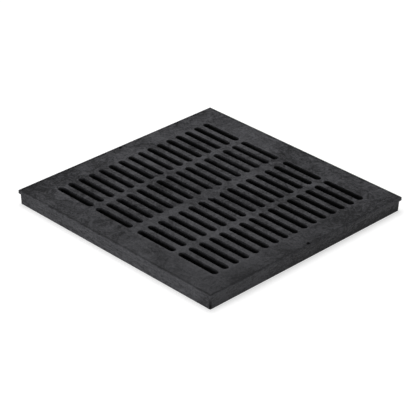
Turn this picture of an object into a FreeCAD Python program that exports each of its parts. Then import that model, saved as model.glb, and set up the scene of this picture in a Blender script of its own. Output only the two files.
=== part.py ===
# Square plastic gully grate: a slotted deck with a thin overhanging flange,
# a drafted skirt round its edge and a grid of ribs underneath, moulded in one piece.
# Frame: origin at the centre of the foot, X along the slots, Z up. Millimetres and degrees.
import FreeCAD, Part
import math
import os
from types import SimpleNamespace

import Sketcher

NODE = "grate"

# Each driving dimension, with what it measures on the grate.
SIZES = [
    ("side_length", 305.0, "outer side of the flange, a nominal twelve inches"),
    ("total_height", 17.5, "foot of the skirt to the walking face"),
    ("flange_thickness", 4.0, "thickness of the flange at the rim"),
    ("flange_overhang", 1.6, "flange edge beyond the top of the skirt"),
    ("flange_corner_radius", 1.0, "upright corners of the flange"),
    ("flange_edge_radius", 0.8, "rounding round the walking face"),
    ("skirt_draft", 2.0, "lean of the outer face of the skirt"),
    ("skirt_inner_draft", 1.0, "lean of the inner face of the skirt"),
    ("skirt_wall", 4.0, "wall of the skirt at its foot"),
    ("skirt_corner_radius", 1.2, "upright corners of the skirt"),
    ("deck_thickness", 4.0, "plate over the spaces between the ribs"),
    ("slot_length", 57.0, "slot from end to end"),
    ("slot_width", 8.9, "slot across, narrow enough for heels"),
    ("middle_slot_width", 8.3, "slot across in the two rows beside the centre bar"),
    ("bar_width", 6.5, "bar between two rows of slots"),
    ("centre_bar_width", 7.2, "bar along the middle of the grate"),
    ("divider_width", 6.4, "bridge between the inner and outer columns of slots"),
    ("centre_divider_width", 10.4, "bridge between the two inner columns"),
    ("slot_rows", 7, "rows of full-width slots beyond each middle row"),
    ("boss_radius", 10.7, "round boss at the centre"),
    ("bar_depth", 12.5, "walking face to the underside of the bars"),
    ("border_wall", 4.0, "wall round the field of slots, under the deck"),
    ("web_thickness", 5.0, "deep webs under the dividers and the centre bar, at their foot"),
    ("web_draft", 1.0, "lean of the deep webs"),
    ("web_foot_gap", 1.5, "foot of the skirt to the underside of the deep webs"),
    ("rim_rib_thickness", 3.0, "ribs from the border wall to the skirt"),
    ("rim_rib_depth", 10.5, "walking face to the underside of those ribs"),
    ("rim_rib_rows", 3, "such ribs on each side of the centre web, one at every other bar"),
    ("screw_hole_diameter", 4.8, "hole for a holding-down screw"),
    ("screw_edge_distance", 3.7, "flange edge to the middle of a screw hole"),
]

# Two lengths nearer than this are taken as the same one.
CLOSE = 1e-4

# The sketcher's own numbers for its origin and its X axis, and for the points of a line or an arc.
ORIGIN = (-1, 1)
X_AXIS = -1
START, END, MIDDLE = range(1, 4)


class Size:
    """A dimension: its number, and the expression that ties it to the sheet."""

    def __init__(self, number, text):
        self.number = number
        self.text = text

    def joined(self, sign, other, number):
        return Size(number, f"({self.text} {sign} {other.text if isinstance(other, Size) else other})")

    def __add__(self, other):
        return self.joined("+", other, self.number + other.number)

    def __sub__(self, other):
        return self.joined("-", other, self.number - other.number)

    def __mul__(self, factor):
        number = factor.number if isinstance(factor, Size) else factor
        return self.joined("*", factor, self.number * number)

    def __truediv__(self, divisor):
        return self.joined("/", divisor, self.number / divisor)

    def __neg__(self):
        return Size(-self.number, f"(0 - {self.text})")


def tangent(angle):
    return Size(math.tan(math.radians(angle.number)), f"tan({angle.text})")


def make_sheet(doc):
    """The sheet of driving dimensions, and the same dimensions by name."""
    sheet = doc.addObject("Spreadsheet::Sheet", "sizes")
    named = {}
    for row, (alias, number, meaning) in enumerate(SIZES, start=1):
        sheet.set(f"A{row}", alias)
        sheet.set(f"B{row}", str(number))
        sheet.set(f"C{row}", meaning)
        sheet.setAlias(f"B{row}", alias)
        named[alias] = Size(number, f"sizes.{alias}")
    doc.recompute()
    return SimpleNamespace(**named)


def work_out_layout(s):
    """Places that several features share, measured from the centre and from the foot."""
    pitch = s.bar_width + s.slot_width
    middle_row = (s.centre_bar_width + s.middle_slot_width) / 2
    first_bar = (s.centre_bar_width + s.bar_width) / 2 + s.middle_slot_width
    inner_column = s.centre_divider_width / 2
    divider = inner_column + s.slot_length + s.divider_width / 2
    outer_column = divider + s.divider_width / 2
    flange_under = s.total_height - s.flange_thickness
    foot = s.side_length / 2 - s.flange_overhang - flange_under * tangent(s.skirt_draft)
    return SimpleNamespace(
        pitch=pitch,
        middle_row=middle_row,
        first_bar=first_bar,
        first_row=first_bar + pitch / 2,
        inner_column=inner_column,
        divider=divider,
        outer_column=outer_column,
        field_x=outer_column + s.slot_length,
        field_y=first_bar - s.bar_width / 2 + pitch * s.slot_rows,
        flange_under=flange_under,
        deck_under=s.total_height - s.deck_thickness,
        bars_under=s.total_height - s.bar_depth,
        foot=foot,
        web_reach=foot - s.skirt_wall / 2,
    )


def origin_plane(body, role):
    return next(feature for feature in body.Origin.OriginFeatures if feature.Role == role)


def level_sketch(body, name, height=None):
    """A sketch parallel to the foot, at a height above it."""
    sketch = body.newObject("Sketcher::SketchObject", name)
    sketch.AttachmentSupport = (origin_plane(body, "XY_Plane"), [""])
    sketch.MapMode = "FlatFace"
    if height is not None:
        sketch.setExpression("AttachmentOffset.Base.z", height.text)
    return sketch


def drive(sketch, name, size, kind, *points):
    """A dimension in a sketch, named and tied to the sheet."""
    index = sketch.addConstraint(Sketcher.Constraint(kind, *points, size.number))
    sketch.renameConstraint(index, name)
    sketch.setExpression(f"Constraints.{name}", size.text)


def relate(sketch, kind, *points):
    sketch.addConstraint(Sketcher.Constraint(kind, *points))


def draw_rectangle(sketch, name, half_x, half_y, centre_x=None, centre_y=None):
    """A rectangle that is even about each axis for which no centre is given."""
    cx = centre_x.number if centre_x else 0.0
    cy = centre_y.number if centre_y else 0.0
    corners = [
        FreeCAD.Vector(cx + side_x * half_x.number, cy + side_y * half_y.number, 0)
        for side_x, side_y in ((-1, -1), (1, -1), (1, 1), (-1, 1))
    ]
    lines = [Part.LineSegment(corners[i - 1], corners[i]) for i in range(4)]
    left, front, right, back = [sketch.addGeometry(line, False) for line in lines]
    for line, following in ((left, front), (front, right), (right, back), (back, left)):
        relate(sketch, "Coincident", line, END, following, START)
    for line in (front, back):
        relate(sketch, "Horizontal", line)
    for line in (left, right):
        relate(sketch, "Vertical", line)
    drive(sketch, f"{name}_width", half_x * 2, "DistanceX", front, START, front, END)
    drive(sketch, f"{name}_depth", half_y * 2, "DistanceY", right, START, right, END)
    if centre_x:
        drive(sketch, f"{name}_near_x", centre_x - half_x, "DistanceX", *ORIGIN, front, START)
    else:
        drive(sketch, f"{name}_half_x", half_x, "DistanceX", front, START, *ORIGIN)
    if centre_y:
        drive(sketch, f"{name}_near_y", centre_y - half_y, "DistanceY", *ORIGIN, front, START)
    else:
        drive(sketch, f"{name}_half_y", half_y, "DistanceY", front, START, *ORIGIN)


def draw_slot(sketch, name, near_end, length, row, width):
    """A round-ended slot along X, beyond a distance from the centre."""
    radius = width / 2
    near = near_end + radius
    far = near_end + length - radius
    ends = []
    for centre, turn in ((near, math.pi), (far, 0.0)):
        point = FreeCAD.Vector(centre.number, row.number, 0)
        circle = Part.Circle(point, FreeCAD.Vector(0, 0, 1), radius.number)
        half_turn = Part.ArcOfCircle(circle, turn - math.pi / 2, turn + math.pi / 2)
        ends.append(sketch.addGeometry(half_turn, False))
    sides = []
    for y in (row.number - radius.number, row.number + radius.number):
        points = [FreeCAD.Vector(x, y, 0) for x in (near.number, far.number)]
        sides.append(sketch.addGeometry(Part.LineSegment(*points), False))
    (near_arc, far_arc), (front, back) = ends, sides
    relate(sketch, "Tangent", near_arc, END, front, START)
    relate(sketch, "Tangent", front, END, far_arc, START)
    relate(sketch, "Tangent", far_arc, END, back, END)
    relate(sketch, "Tangent", back, START, near_arc, START)
    relate(sketch, "Horizontal", front)
    relate(sketch, "Equal", near_arc, far_arc)
    drive(sketch, f"{name}_radius", radius, "Radius", near_arc)
    drive(sketch, f"{name}_near", near, "DistanceX", *ORIGIN, near_arc, MIDDLE)
    drive(sketch, f"{name}_far", far, "DistanceX", *ORIGIN, far_arc, MIDDLE)
    drive(sketch, f"{name}_row", row, "DistanceY", *ORIGIN, near_arc, MIDDLE)


def draw_circle(sketch, name, radius, centre_x=None):
    x = centre_x.number if centre_x else 0.0
    shape = Part.Circle(FreeCAD.Vector(x, 0, 0), FreeCAD.Vector(0, 0, 1), radius.number)
    circle = sketch.addGeometry(shape, False)
    drive(sketch, f"{name}_radius", radius, "Radius", circle)
    if centre_x:
        drive(sketch, f"{name}_centre", centre_x, "DistanceX", *ORIGIN, circle, MIDDLE)
        relate(sketch, "PointOnObject", circle, MIDDLE, X_AXIS)
    else:
        relate(sketch, "Coincident", circle, MIDDLE, *ORIGIN)


def extrude(body, kind, name, sketch, length, taper=None, other_way=False):
    """A pad or a pocket, which has to add or to take away material."""
    before = body.Shape.Volume if body.Tip else 0.0
    feature = body.newObject(f"PartDesign::{kind}", name)
    feature.Profile = sketch
    feature.Reversed = other_way
    feature.setExpression("Length", length.text)
    if taper:
        feature.setExpression("TaperAngle", taper.text)
    sketch.Visibility = False
    body.Tip = feature
    body.Document.recompute()
    gained = feature.Shape.Volume - before
    if (gained > 0) != (kind == "Pad"):
        raise RuntimeError(f"{name} changed the volume by {gained:.1f} cubic millimetres")
    return feature


def round_edges(body, name, radius, wanted):
    """A fillet on the edges that pass a test."""
    base = body.Tip
    names = [f"Edge{number}" for number, edge in enumerate(base.Shape.Edges, start=1) if wanted(edge)]
    fillet = body.newObject("PartDesign::Fillet", name)
    fillet.Base = (base, names)
    fillet.setExpression("Radius", radius.text)
    body.Tip = fillet
    body.Document.recompute()


def is_upright(edge):
    return edge.BoundBox.ZLength > CLOSE


def mirror_across(body, name, role):
    mirror = body.newObject("PartDesign::Mirrored", name)
    mirror.MirrorPlane = (origin_plane(body, role), [""])
    return mirror


def repeat(body, name, features, steps):
    """Copies of features, by each step in turn."""
    pattern = body.newObject("PartDesign::MultiTransform", name)
    pattern.Originals = features
    pattern.Transformations = steps
    body.Tip = pattern
    body.Document.recompute()


def march_rows(body, name, sketch, spacing, count):
    """Copies along Y, a spacing apart."""
    rows = body.newObject("PartDesign::LinearPattern", name)
    rows.Direction = (sketch, ["V_Axis"])
    rows.Mode = "Spacing"
    rows.setExpression("Offset", spacing.text)
    rows.setExpression("Occurrences", count.text)
    return rows


def make_skirt_and_flange(body, s, at):
    """The drafted skirt, the flange over it, their roundings and the hollow underneath."""
    outline = level_sketch(body, "skirt_outline")
    draw_rectangle(outline, "skirt", at.foot, at.foot)
    extrude(body, "Pad", "skirt", outline, at.flange_under, s.skirt_draft)
    round_edges(body, "skirt_corners", s.skirt_corner_radius, is_upright)

    half_side = s.side_length / 2
    outline = level_sketch(body, "flange_outline", at.flange_under)
    draw_rectangle(outline, "flange", half_side, half_side)
    extrude(body, "Pad", "flange", outline, s.flange_thickness)

    def on_flange_corner(edge):
        return is_upright(edge) and abs(edge.CenterOfMass.x) > half_side.number - CLOSE

    def on_walking_face(edge):
        return edge.BoundBox.ZMin > s.total_height.number - CLOSE

    round_edges(body, "flange_corners", s.flange_corner_radius, on_flange_corner)
    round_edges(body, "flange_edge", s.flange_edge_radius, on_walking_face)

    outline = level_sketch(body, "hollow_outline")
    draw_rectangle(outline, "hollow", at.foot - s.skirt_wall, at.foot - s.skirt_wall)
    extrude(body, "Pocket", "hollow", outline, at.deck_under, -s.skirt_inner_draft, other_way=True)


def make_ribs(body, s, at):
    """The block that the slots turn into bars, the deep webs and the ribs out to the skirt."""
    outline = level_sketch(body, "bars_outline", at.bars_under)
    draw_rectangle(outline, "bars", at.field_x + s.border_wall, at.field_y + s.border_wall)
    extrude(body, "Pad", "bars", outline, s.bar_depth - s.deck_thickness)

    half_web = s.web_thickness / 2
    web_height = at.bars_under - s.web_foot_gap
    for name, half_x, half_y, centre_x in (
        ("centre_web", half_web, at.web_reach, None),
        ("cross_web", at.web_reach, half_web, None),
        ("divider_web", half_web, at.web_reach, at.divider),
    ):
        outline = level_sketch(body, f"{name}_outline", s.web_foot_gap)
        draw_rectangle(outline, name, half_x, half_y, centre_x)
        web = extrude(body, "Pad", name, outline, web_height, s.web_draft)
    repeat(body, "divider_webs", [web], [mirror_across(body, "divider_mirror", "YZ_Plane")])

    half_rib = s.rim_rib_thickness / 2
    rib_under = s.total_height - s.rim_rib_depth
    rib_height = s.rim_rib_depth - s.deck_thickness
    half_slot = s.slot_length / 2
    outline = level_sketch(body, "column_rib_outline", rib_under)
    draw_rectangle(outline, "inner_rib", half_rib, at.web_reach, at.inner_column + half_slot)
    draw_rectangle(outline, "outer_rib", half_rib, at.web_reach, at.outer_column + half_slot)
    rib = extrude(body, "Pad", "column_rib", outline, rib_height)
    repeat(body, "column_ribs", [rib], [mirror_across(body, "column_rib_mirror", "YZ_Plane")])

    outline = level_sketch(body, "row_rib_outline", rib_under)
    draw_rectangle(outline, "row_rib", at.web_reach, half_rib, centre_y=at.first_bar + at.pitch)
    rib = extrude(body, "Pad", "row_rib", outline, rib_height)
    rows = march_rows(body, "row_rib_march", outline, at.pitch * 2, s.rim_rib_rows)
    repeat(body, "row_ribs", [rib], [rows, mirror_across(body, "row_rib_mirror", "XZ_Plane")])


def make_slots(body, s, at):
    """Both slots of a quarter row, cut right through, and the copies of them."""
    for name, row, width, count in (
        ("middle_slots", at.middle_row, s.middle_slot_width, None),
        ("slots", at.first_row, s.slot_width, s.slot_rows),
    ):
        outline = level_sketch(body, f"{name}_outline", s.total_height)
        draw_slot(outline, "inner", at.inner_column, s.slot_length, row, width)
        draw_slot(outline, "outer", at.outer_column, s.slot_length, row, width)
        pair = extrude(body, "Pocket", f"{name}_pair", outline, s.total_height)
        steps = [march_rows(body, f"{name}_march", outline, at.pitch, count)] if count else []
        steps.append(mirror_across(body, f"{name}_back", "XZ_Plane"))
        steps.append(mirror_across(body, f"{name}_left", "YZ_Plane"))
        repeat(body, f"{name}_everywhere", [pair], steps)


def make_boss(body, s):
    """The boss that closes the inner ends of the middle slots, as deep as the webs."""
    outline = level_sketch(body, "boss_outline", s.web_foot_gap)
    draw_circle(outline, "boss", s.boss_radius)
    extrude(body, "Pad", "boss", outline, s.total_height - s.web_foot_gap)


def make_screw_holes(body, s):
    """A hole through the flange in the middle of the left and the right rim."""
    outline = level_sketch(body, "screw_hole_outline", s.total_height)
    draw_circle(outline, "screw_hole", s.screw_hole_diameter / 2, s.side_length / 2 - s.screw_edge_distance)
    hole = extrude(body, "Pocket", "screw_hole", outline, s.flange_thickness)
    repeat(body, "screw_holes", [hole], [mirror_across(body, "screw_hole_mirror", "YZ_Plane")])


def check(doc, bodies):
    """Every feature has worked, and every piece is one sound solid."""
    for item in doc.Objects:
        if "Invalid" in item.State or "Error" in item.State:
            raise RuntimeError(f"{item.Label} failed: {item.State}")
    for body in bodies:
        if body.Shape.isNull() or not body.Shape.isValid():
            raise RuntimeError(f"{body.Label} has no sound shape")


def main():
    doc = FreeCAD.newDocument("gully_grate")
    s = make_sheet(doc)
    at = work_out_layout(s)
    grate = doc.addObject("PartDesign::Body", NODE)
    grate.Label = NODE
    make_skirt_and_flange(grate, s, at)
    make_ribs(grate, s, at)
    make_slots(grate, s, at)
    make_boss(grate, s)
    make_screw_holes(grate, s)
    doc.recompute()
    check(doc, [grate])
    os.makedirs("parts", exist_ok=True)
    grate.Shape.exportStep(f"parts/{grate.Label}.step")


main()
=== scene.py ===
import math

import bpy
from mathutils import Matrix, Vector


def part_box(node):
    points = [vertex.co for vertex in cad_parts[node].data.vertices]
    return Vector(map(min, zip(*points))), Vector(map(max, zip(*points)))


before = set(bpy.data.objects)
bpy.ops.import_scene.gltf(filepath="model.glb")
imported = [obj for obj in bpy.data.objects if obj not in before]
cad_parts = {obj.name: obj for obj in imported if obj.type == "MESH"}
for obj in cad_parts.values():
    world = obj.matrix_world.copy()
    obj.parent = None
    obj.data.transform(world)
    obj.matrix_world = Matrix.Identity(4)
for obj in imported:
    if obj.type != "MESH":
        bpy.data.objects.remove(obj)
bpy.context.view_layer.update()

# The grate is one injection moulding in black polyolefin: slots, flange, skirt and ribs in one piece.
# It drops into the frame of the gully pot, so nothing is fixed to it. The tool leaves a small radius
# on every edge, and the filled, partly recycled plastic sets with faint marbled flow marks.
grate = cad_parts["grate"]
grate_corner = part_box("grate")[1]
half_side = grate_corner[0]
top_level = grate_corner[2]
slots_end_x = 0.1256
slots_end_y = 0.1197
slots_margin = 0.004
edge_radius = 0.0004
sharp_edge = math.radians(40)
flat_within = math.radians(0.5)
darkest_charcoal = (0.0008, 0.0008, 0.0022, 1)
palest_charcoal = (0.0660, 0.0660, 0.0722, 1)
# The black that is painted as shade into the slots and down the upright corners.
shade_black = (0.0014, 0.0014, 0.0017, 1)

joined = grate.modifiers.new("joined faces", "WELD")
joined.merge_threshold = 0.00001
whole_faces = grate.modifiers.new("whole flat faces", "DECIMATE")
whole_faces.decimate_type = "DISSOLVE"
whole_faces.angle_limit = flat_within
soft_edges = grate.modifiers.new("moulded edges", "BEVEL")
soft_edges.width = edge_radius
soft_edges.segments = 3
soft_edges.limit_method = "ANGLE"
soft_edges.angle_limit = sharp_edge
soft_edges.harden_normals = True

plastic = bpy.data.materials.new("charcoal plastic")
plastic.use_nodes = True
shader = plastic.node_tree.nodes["Principled BSDF"]


def add_node(tree, kind, **settings):
    """A node of that kind, with its settings as attributes."""
    node = tree.nodes.new(kind)
    for name, value in settings.items():
        setattr(node, name, value)
    return node


def link(source, target):
    target.id_data.links.new(source, target)


def separate(vector):
    """The three parts of a vector."""
    node = add_node(vector.id_data, "ShaderNodeSeparateXYZ")
    link(vector, node.inputs["Vector"])
    return tuple(node.outputs[axis] for axis in "XYZ")


def size_of(value):
    """A value without its sign."""
    node = add_node(value.id_data, "ShaderNodeMath", operation="ABSOLUTE")
    link(value, node.inputs[0])
    return node.outputs["Value"]


def combine(operation, first, second):
    node = add_node(first.id_data, "ShaderNodeMath", operation=operation)
    link(first, node.inputs[0])
    link(second, node.inputs[1])
    return node.outputs["Value"]


def times(first, second):
    return combine("MULTIPLY", first, second)


def plus(first, second):
    return combine("ADD", first, second)


def larger(first, second):
    return combine("MAXIMUM", first, second)


def smaller(first, second):
    return combine("MINIMUM", first, second)


def spread(value, given, wanted, blend="LINEAR"):
    """A value moved from the given range to the wanted one, and held at its ends."""
    node = add_node(value.id_data, "ShaderNodeMapRange", interpolation_type=blend)
    for name, limit in zip(("From Min", "From Max", "To Min", "To Max"), given + wanted):
        node.inputs[name].default_value = limit
    link(value, node.inputs["Value"])
    return node.outputs["Result"]


def noise(place, scale, detail, roughness, distortion=0.0):
    """A noise over the surface, with its scale in features to the metre."""
    node = add_node(place.id_data, "ShaderNodeTexNoise")
    node.inputs["Scale"].default_value = scale
    node.inputs["Detail"].default_value = detail
    node.inputs["Roughness"].default_value = roughness
    node.inputs["Distortion"].default_value = distortion
    link(place, node.inputs["Vector"])
    return node.outputs["Fac"]


# Where the surface lies: rightwards goes along the slots, and backwards goes across them. It is also
# measured inwards from the nearest edge of the grate, from the nearest corner, and down from the top.
whole = (0, 1)
place = add_node(plastic.node_tree, "ShaderNodeTexCoord").outputs["Object"]
rightwards, backwards, height = separate(place)
from_middle_x = size_of(rightwards)
from_middle_y = size_of(backwards)
from_edge = spread(larger(from_middle_x, from_middle_y), (0, half_side), (half_side, 0))
from_corner = spread(smaller(from_middle_x, from_middle_y), (0, half_side), (half_side, 0))
depth = spread(height, (0, top_level), (top_level, 0))
in_field = times(spread(from_middle_x, (slots_end_x, slots_end_x + slots_margin), (1, 0)),
                 spread(from_middle_y, (slots_end_y, slots_end_y + slots_margin), (1, 0)))


def distance_from(x, y):
    """How far the surface is from a point of the walking face."""
    node = add_node(plastic.node_tree, "ShaderNodeVectorMath", operation="DISTANCE")
    link(place, node.inputs[0])
    node.inputs[1].default_value = (x, y, top_level)
    return node.outputs["Value"]


# Which way the surface faces: the walking face, any side, either end side, and the right and front
# ones by themselves.
normal = add_node(plastic.node_tree, "ShaderNodeNewGeometry").outputs["Normal"]
facing_x, facing_y, facing_z = separate(normal)
levelness = size_of(facing_z)
on_face = spread(levelness, (0.6, 0.9), whole)
on_side = spread(levelness, (0.3, 0.8), (1, 0))
on_end = spread(size_of(facing_x), (0.3, 0.8), whole)
on_right = spread(facing_x, (0.3, 0.8), whole)
on_front = spread(facing_y, (-0.8, -0.3), (1, 0))

# The marbling is broad patches, swirls and specks, calmer round the near corner. On the sides the
# swirls are faint, and fine level streaks cross them, where the plastic slid down the tool as it
# shrank. Each noise keeps to about the usual range.
usual = (0.3, 0.7)
patches = noise(place, scale=22, detail=3, roughness=0.5, distortion=0.6)
swirls = noise(place, scale=70, detail=5, roughness=0.6, distortion=2.2)
specks = noise(place, scale=400, detail=4, roughness=0.65)
drawn_out = add_node(plastic.node_tree, "ShaderNodeVectorMath", operation="MULTIPLY")
drawn_out.inputs[1].default_value = (0.25, 0.25, 1)
link(place, drawn_out.inputs[0])
streaks = noise(drawn_out.outputs["Vector"], scale=600, detail=4, roughness=0.6)

marbling = plus(spread(swirls, usual, (-1.05, 1.05)), spread(specks, usual, (-1.05, 1.05)))
from_near_corner = distance_from(half_side, -half_side)
marbled_face = times(on_face, spread(from_near_corner, (0.06, 0.30), (0.50, 1.05)))
marbled_side = times(on_side, spread(on_end, whole, (0.20, 0.42)))
streaked_side = times(on_side, spread(on_end, whole, (0.85, 0.95)))
marks_and_painted_light = [
    times(spread(patches, usual, (-0.55, 0.55)), spread(on_front, whole, (1, 0.4))),
    times(marbling, plus(marbled_face, marbled_side)),
    times(spread(streaks, usual, (-1, 1)), streaked_side),
    times(spread(specks, usual, (-0.55, 0.55)), on_side),
]

# Paler and darker pools, each given as a point of the walking face, a reach and a strength.
for x, y, reach, strength in (
    (-0.154, -0.112, 0.060, -0.85),
    (-0.090, 0.125, 0.110, 0.55),
    (0.085, 0.150, 0.080, -0.20),
    (0.010, -0.140, 0.070, -0.22),
    (0.142, 0.000, 0.080, -0.22),
    (0.060, 0.000, 0.100, -0.16),
    (-0.105, -0.060, 0.060, 0.14),
    (-0.120, -0.126, 0.022, 0.30),
    (-0.139, 0.030, 0.035, 0.45),
    (-0.140, 0.128, 0.040, -0.35),
    (0.152, 0.120, 0.060, 0.25),
):
    marks_and_painted_light.append(spread(distance_from(x, y), (0, reach), (strength, 0), "SMOOTHSTEP"))

# The field of slots is a touch paler than the rims. The right rim darkens outwards, and the side under
# it carries a painted highlight by the near corner and painted shade along its foot in its back half,
# paler above it. The front pales to the right.
foot_shade = times(spread(backwards, (0, 0.100), whole), spread(height, (0.002, 0.0125), (-1.0, 0.55)))
marks_and_painted_light += [
    times(on_face, spread(in_field, whole, (-0.14, 0.12))),
    spread(rightwards, (0.126, 0.148), (0, -0.42)),
    times(on_right, spread(backwards, (-0.080, -0.025), (1.2, 0))),
    times(on_right, foot_shade),
    times(on_front, spread(rightwards, (-0.090, 0.020), (0, 0.24))),
]

# The sides darken towards the corners. A thin line of painted shade lies inside the edge of the face,
# and the roundings carry a painted highlight.
rim_shade_line = times(spread(from_edge, (0.0010, 0.0018), whole), spread(from_edge, (0.0030, 0.0042), (1, 0)))
rounding = times(spread(levelness, (0.10, 0.35), whole), spread(levelness, (0.85, 0.98), (1, 0)))
marks_and_painted_light += [
    times(times(on_face, rim_shade_line), spread(swirls, usual, (-0.3, -0.8))),
    times(on_side, spread(from_corner, (0.004, 0.018), (-0.40, 0))),
    spread(rounding, whole, (0, 0.3)),
]

# The tone sums the marbling and pools with the painted shade and highlights.
tone = marks_and_painted_light[0]
for tone_part in marks_and_painted_light[1:]:
    tone = plus(tone, tone_part)
shades = add_node(plastic.node_tree, "ShaderNodeValToRGB")
shades.color_ramp.elements[0].color = darkest_charcoal
shades.color_ramp.elements[1].color = palest_charcoal
link(spread(tone, (-1.0, 1.25), whole), shades.inputs["Fac"])

# Shade is painted into the walls of the slots, blacker with depth, more so towards the back and the
# right, in specks, and less round a spot in the second column. Painted shade also runs down each upright
# corner, darker towards its foot.
shade_depth = spread(depth, (-0.0004, 0.0052), whole)
for change in (
    spread(backwards, (-0.070, 0.110), (0, 0.45)),
    spread(rightwards, (-0.020, 0.120), (0, 0.15)),
    spread(specks, usual, (-0.22, 0.22)),
    spread(distance_from(-0.034, 0.080), (0.02, 0.06), (-0.35, 0)),
):
    shade_depth = plus(shade_depth, change)
slot_wall = times(in_field, spread(levelness, (0.80, 0.97), (1, 0)))
slot_shade = times(slot_wall, spread(shade_depth, whole, whole))
corner_shade = times(spread(from_corner, (0.0034, 0.0046), (1, 0)),
                  spread(depth, (0.0010, top_level), (0, 1.3)))
painted_shade = larger(slot_shade, corner_shade)

shade_mix = add_node(plastic.node_tree, "ShaderNodeMix", data_type="RGBA")
shade_mix.inputs["B"].default_value = shade_black
link(painted_shade, shade_mix.inputs["Factor"])
link(shades.outputs["Color"], shade_mix.inputs["A"])
link(shade_mix.outputs["Result"], shader.inputs["Base Color"])

# The swirls and specks vary the plastic from satin to dull, and it is nearly matt where shade is painted
# into the slots and corners.
satin = spread(plus(swirls, specks), (0.7, 1.3), (0.48, 0.66))
link(larger(satin, spread(painted_shade, whole, (0.3, 0.95))), shader.inputs["Roughness"])
shader.inputs["Specular IOR Level"].default_value = 0.2

# In relief, the tool's fine grain covers everything, the swirls stand up as low waves, mostly on the
# level faces, and the streaks run along the sides.
grain = add_node(plastic.node_tree, "ShaderNodeBump")
grain.inputs["Strength"].default_value = 0.5
grain.inputs["Distance"].default_value = 0.00025
link(noise(place, scale=1400, detail=3, roughness=0.6), grain.inputs["Height"])
waves = add_node(plastic.node_tree, "ShaderNodeBump")
waves.inputs["Distance"].default_value = 0.0012
link(spread(on_side, whole, (0.8, 0.12)), waves.inputs["Strength"])
link(swirls, waves.inputs["Height"])
link(grain.outputs["Normal"], waves.inputs["Normal"])
lines = add_node(plastic.node_tree, "ShaderNodeBump")
lines.inputs["Distance"].default_value = 0.0004
link(times(on_side, spread(on_end, whole, (0.45, 0.75))), lines.inputs["Strength"])
link(streaks, lines.inputs["Height"])
link(waves.outputs["Normal"], lines.inputs["Normal"])
link(lines.outputs["Normal"], shader.inputs["Normal"])

for slot in grate.material_slots:
    slot.material = plastic

# The floor is a wide sheet of matt white board that the grate stands on. It carries on as the backdrop,
# so the camera sees it white but for the soft shadow of the skirt, and dark under the grate itself.
half_floor = 4.0
board_grey = (0.5, 0.5, 0.5, 1)
board_glow = 0.62
glow_starts = (0.1489, 0.1490)
floor_mesh = bpy.data.meshes.new("floor")
floor_corners = [(x * half_floor, y * half_floor, 0) for x, y in ((-1, -1), (1, -1), (1, 1), (-1, 1))]
floor_mesh.from_pydata(floor_corners, [], [(0, 1, 2, 3)])
floor = bpy.data.objects.new("floor", floor_mesh)
bpy.context.scene.collection.objects.link(floor)

board = bpy.data.materials.new("white board")
board.use_nodes = True
paper = board.node_tree.nodes["Principled BSDF"]
paper.inputs["Base Color"].default_value = board_grey
paper.inputs["Roughness"].default_value = 0.9
paper.inputs["Specular IOR Level"].default_value = 0.1
paper.inputs["Emission Color"].default_value = (1, 1, 1, 1)
ray = add_node(board.node_tree, "ShaderNodeLightPath").outputs
seen = larger(larger(ray["Is Camera Ray"], ray["Is Glossy Ray"]), ray["Is Transmission Ray"])
on_board = separate(add_node(board.node_tree, "ShaderNodeTexCoord").outputs["Object"])
in_the_open = spread(larger(size_of(on_board[0]), size_of(on_board[1])), glow_starts, whole)
link(times(in_the_open, spread(seen, whole, (0, board_glow))), paper.inputs["Emission Strength"])
floor_mesh.materials.append(board)

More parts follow.
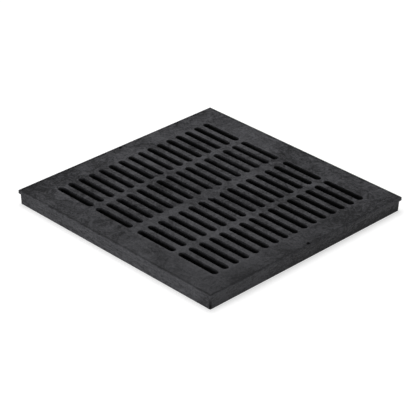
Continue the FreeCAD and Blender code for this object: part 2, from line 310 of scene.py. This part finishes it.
# The light is that of a plain product studio: a room whose walls are lit white to a little above the
# floor, one wide softbox over the grate, and a low one at the camera's left for the left side.
wall_light = 0.86
ceiling_light = 0.06
walls_end = (math.sin(math.radians(8)), math.sin(math.radians(28)))
room = bpy.data.worlds.new("pale room")
bpy.context.scene.world = room
room.use_nodes = True
background = room.node_tree.nodes["Background"]
background.inputs["Color"].default_value = (1, 1, 1, 1)
room_height = separate(add_node(room.node_tree, "ShaderNodeTexCoord").outputs["Generated"])[2]
room_light = spread(room_height, walls_end, (wall_light, ceiling_light), "SMOOTHSTEP")
link(room_light, background.inputs["Strength"])

camera_azimuth = math.radians(44.234)
camera_elevation = math.radians(29.864)


def towards(azimuth, elevation):
    """The direction from the grate to a place at that azimuth, where 0 is in front of the grate."""
    level = math.cos(elevation)
    return Vector((math.sin(azimuth) * level, -math.cos(azimuth) * level, math.sin(elevation)))


def hang_softbox(name, azimuth, elevation, distance, side, power):
    """A square softbox that faces the grate, with its power in watts, unseen by the camera."""
    lamp = bpy.data.lights.new(name, "AREA")
    lamp.shape = "SQUARE"
    lamp.size = side
    lamp.energy = power
    softbox = bpy.data.objects.new(name, lamp)
    out = towards(azimuth, elevation)
    softbox.location = out * distance
    softbox.rotation_euler = out.to_track_quat("Z", "Y").to_euler()
    softbox.visible_camera = False
    bpy.context.scene.collection.objects.link(softbox)


hang_softbox("overhead softbox", camera_azimuth + math.radians(190), math.radians(78),
             distance=2.4, side=1.6, power=48)
hang_softbox("left softbox", camera_azimuth - math.radians(55), math.radians(12),
             distance=2.6, side=1.2, power=45)

# The camera stands where the photograph was taken, a little above the near corner, with a long lens
# and a slight tilt to one side, so that the grate fills the same part of the square picture.
camera_distance = 2.0609
aim_right = -0.00037
aim_up = -0.0186
camera_roll = math.radians(1.432)
picture_side = 420
focal_in_pixels = 1835.7

back = towards(camera_azimuth, camera_elevation)
level_right = Vector((math.cos(camera_azimuth), math.sin(camera_azimuth), 0))
level_up = back.cross(level_right)
right = level_right * math.cos(camera_roll) + level_up * math.sin(camera_roll)
up = level_up * math.cos(camera_roll) - level_right * math.sin(camera_roll)
aim = Vector((0, 0, top_level)) + right * aim_right + up * aim_up

lens = bpy.data.cameras.new("camera")
lens.sensor_width = 36
lens.lens = focal_in_pixels / picture_side * lens.sensor_width
camera = bpy.data.objects.new("camera", lens)
turn = Matrix((right, up, back)).transposed().to_4x4()
camera.matrix_world = Matrix.Translation(aim + back * camera_distance) @ turn
bpy.context.scene.collection.objects.link(camera)
bpy.context.scene.camera = camera
bpy.context.scene.view_settings.view_transform = "Standard"
